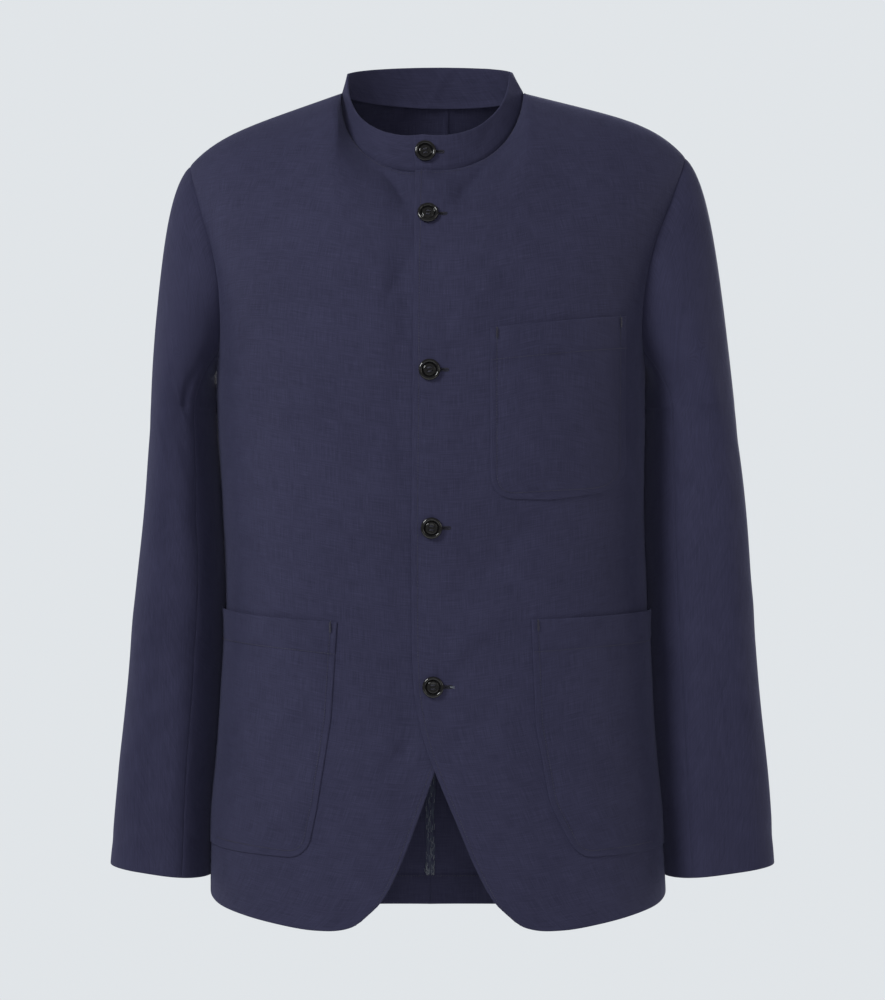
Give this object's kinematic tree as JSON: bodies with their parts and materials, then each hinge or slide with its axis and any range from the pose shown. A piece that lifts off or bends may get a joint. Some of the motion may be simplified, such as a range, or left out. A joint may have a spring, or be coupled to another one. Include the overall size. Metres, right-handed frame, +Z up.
{
  "type": "stand-collar jacket",
  "caption": "Buttoned long-sleeved jacket with a short stand collar, patch pockets and a cutaway front hem, filled out hollow.",
  "frame": {"origin": "in the middle of the neck opening, level with the shoulder seams beside the collar, where the wearer's shoulders hold the jacket", "axes": "+X towards the wearer's left, -Y out of the jacket's front, +Z up"},
  "size_m": [0.6317, 0.2853, 0.8223],
  "materials": {
    "navy_linen": "matt plain weave, dark navy",
    "navy_tape": "matt seam binding, dark navy",
    "black_button": "polished black"
  },
  "bodies": {
    "root": {"front_left": "navy_linen", "front_right": "navy_linen", "back_left": "navy_linen", "back_right": "navy_linen", "centre_back_tape": "navy_tape", "collar_band": "navy_linen", "sleeve_left_top": "navy_linen", "sleeve_left_under": "navy_linen", "sleeve_right_top": "navy_linen", "sleeve_right_under": "navy_linen", "pocket_chest": "navy_linen", "pocket_left": "navy_linen", "pocket_right": "navy_linen", "button_1": "black_button", "button_2": "black_button", "button_3": "black_button", "button_4": "black_button", "button_5": "black_button"}
  },
  "joints": []
}
